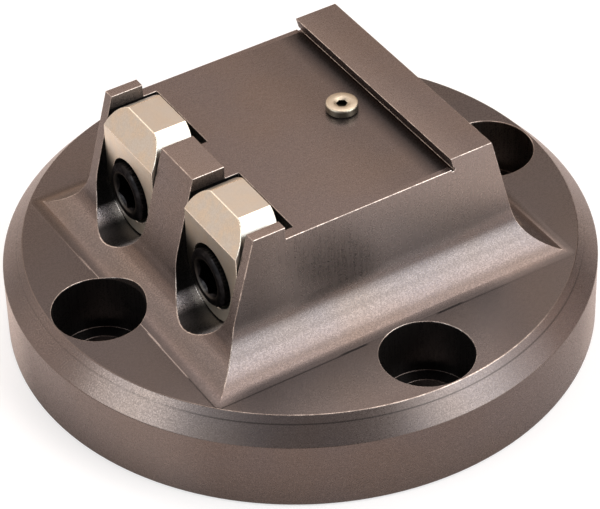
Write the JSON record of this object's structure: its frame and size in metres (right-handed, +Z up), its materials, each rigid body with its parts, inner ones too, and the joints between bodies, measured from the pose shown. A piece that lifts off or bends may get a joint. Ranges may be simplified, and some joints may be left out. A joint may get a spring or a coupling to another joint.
{
  "type": "dovetail vise",
  "caption": "Round-base dovetail vise with an undercut fixed jaw, screw-driven clamps in round-bottomed pockets, a locating screw and counterbored bolt holes.",
  "frame": {"origin": "centre of the round base's underside", "axes": "+Z up, out of the seat's floor; +X the clamping direction, from the sliding clamps to the fixed jaw; +Y left as seen by someone who turns the clamp screws"},
  "size_m": [0.1396, 0.1396, 0.0552],
  "materials": {
    "anodised_aluminium": "satin hard anodising, grey-brown",
    "nickel_plated_steel": "satin nickel plating",
    "black_oxide_steel": "black oxide",
    "spring_steel": "drawn wire",
    "insert_steel": "turned",
    "stainless_steel": "turned, bright"
  },
  "bodies": {
    "vise": {"vise_body": "anodised_aluminium", "thread_insert_left": "insert_steel", "thread_insert_right": "insert_steel", "clamp_spring_left": "spring_steel", "clamp_spring_right": "spring_steel", "locating_screw": "stainless_steel"},
    "left_clamp": {"clamp_left": "nickel_plated_steel"},
    "right_clamp": {"clamp_right": "nickel_plated_steel"},
    "left_screw": {"clamp_screw_left": "black_oxide_steel"},
    "right_screw": {"clamp_screw_right": "black_oxide_steel"}
  },
  "joints": [
    {"name": "left_clamp_slide", "type": "slide", "parent": "vise", "child": "left_clamp", "axis": [1, 0, 0], "range_m": [0, 0.00238], "deforming": ["clamp_spring_left"]},
    {"name": "right_clamp_slide", "type": "slide", "parent": "vise", "child": "right_clamp", "axis": [1, 0, 0], "range_m": [0, 0.00238], "deforming": ["clamp_spring_right"]},
    {"name": "left_screw_turn", "type": "hinge", "parent": "left_clamp", "child": "left_screw", "pos_m": [-0.02612, 0.0184, 0.0365], "axis": [1, 0, 0], "range_deg": [0, 540]},
    {"name": "right_screw_turn", "type": "hinge", "parent": "right_clamp", "child": "right_screw", "pos_m": [-0.02612, -0.0184, 0.0365], "axis": [1, 0, 0], "range_deg": [0, 540]}
  ],
  "couplings": [
    {"joint": "left_screw_turn", "follows": "left_clamp_slide", "rad_per_m": 3957.8},
    {"joint": "right_screw_turn", "follows": "right_clamp_slide", "rad_per_m": 3957.8}
  ]
}
